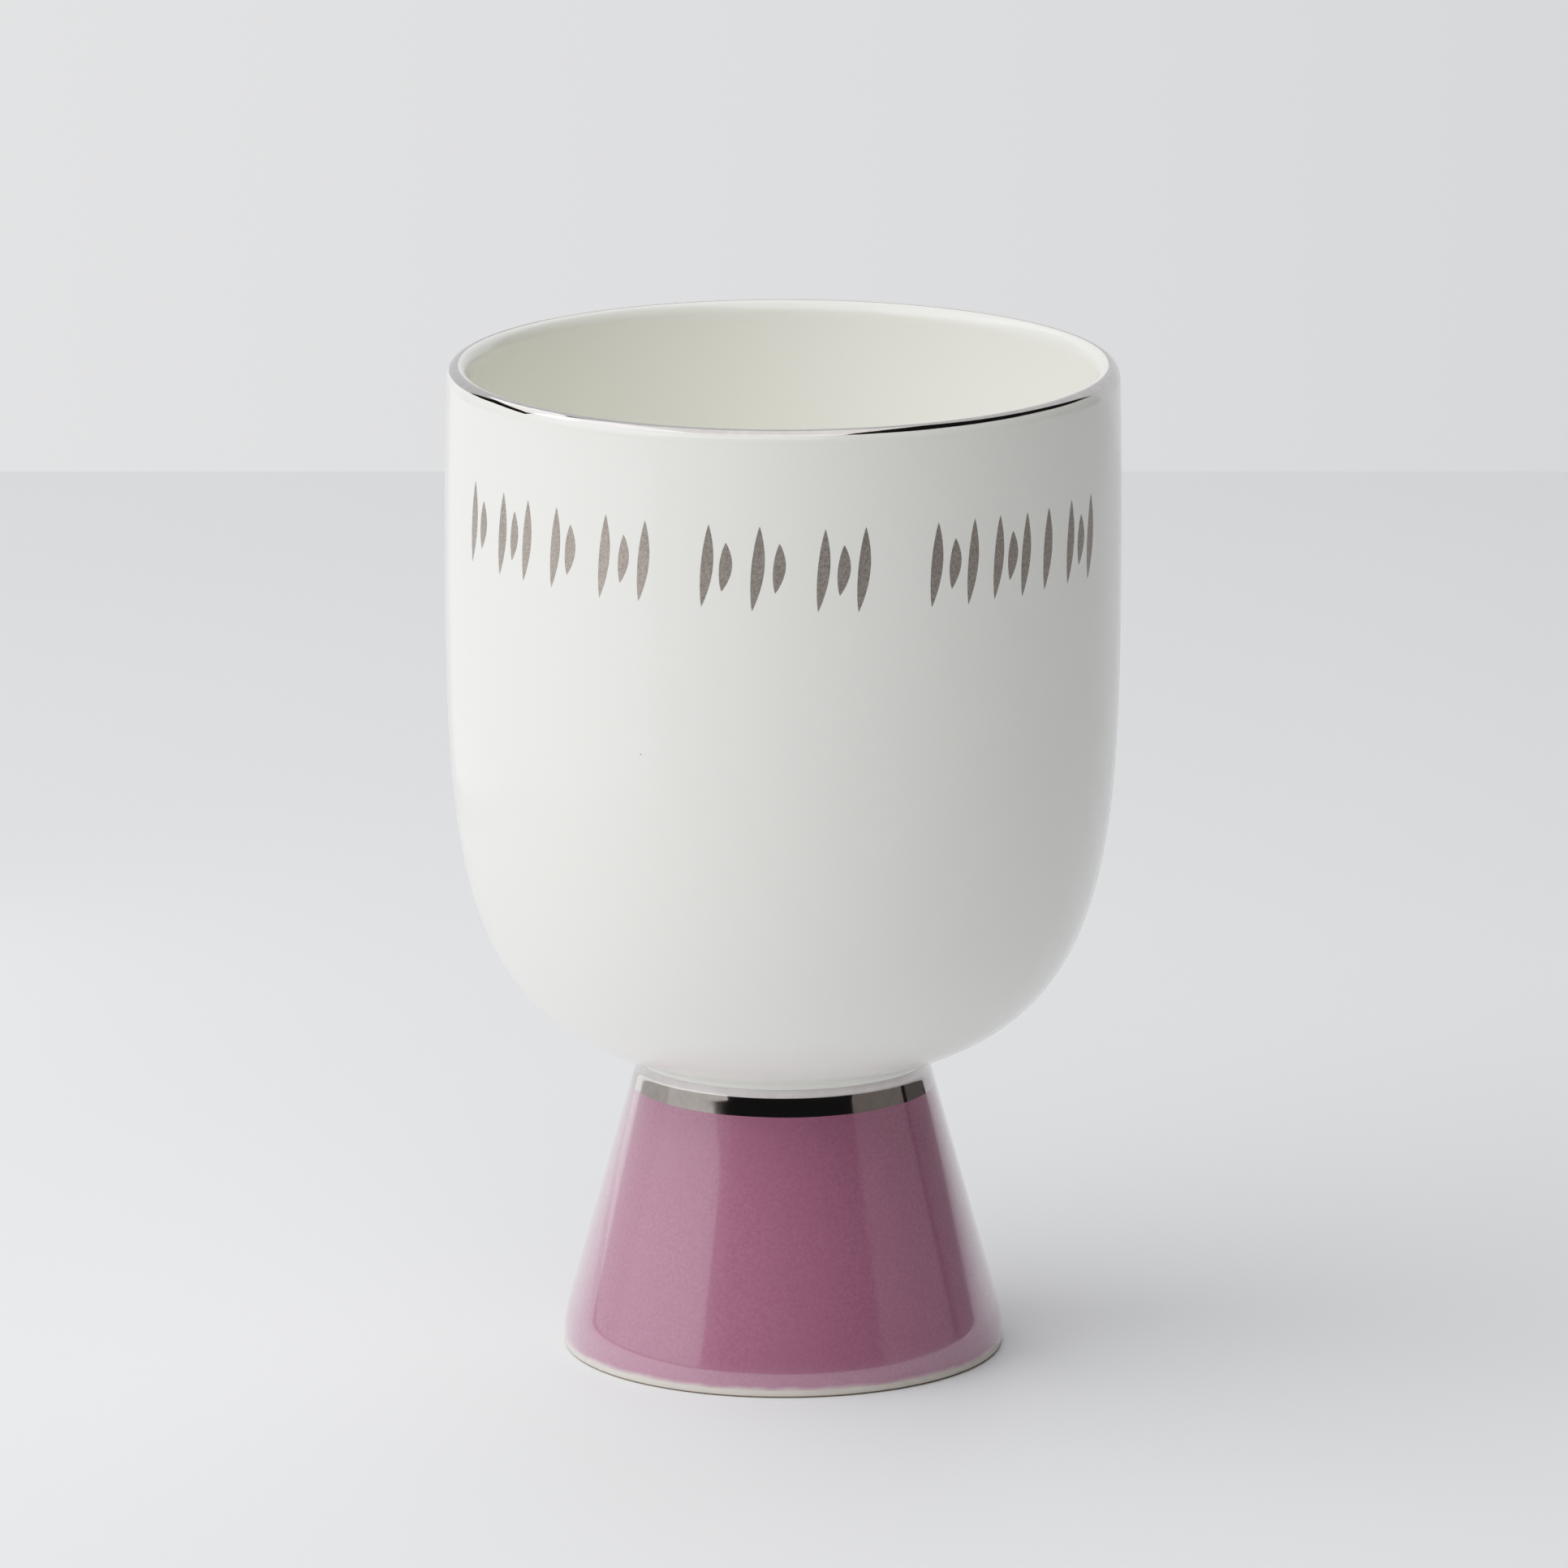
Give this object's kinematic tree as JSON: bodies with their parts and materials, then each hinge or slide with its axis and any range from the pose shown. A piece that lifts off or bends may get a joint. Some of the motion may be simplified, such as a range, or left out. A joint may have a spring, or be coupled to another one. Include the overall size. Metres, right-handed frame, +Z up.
{
  "type": "kiddush cup",
  "caption": "Footed ritual wine cup in glazed china: a deep round-bottomed bowl with a half-round lip on a hollow cone-shaped foot.",
  "frame": {"origin": "middle of the circle that the foot ring stands on", "axes": "+Z up along the cup's axis of revolution; -Y is the side that the picture shows, with the middle group of strokes; +X is to its right"},
  "size_m": [0.085, 0.085, 0.1267],
  "materials": {
    "glazed_china": "clear gloss glaze over white china",
    "platinum_lustre": "burnished platinum lustre, hand-lined",
    "mauve_glaze": "mauve colour glaze, gloss"
  },
  "bodies": {
    "root": {"cup": "glazed_china"}
  },
  "joints": []
}
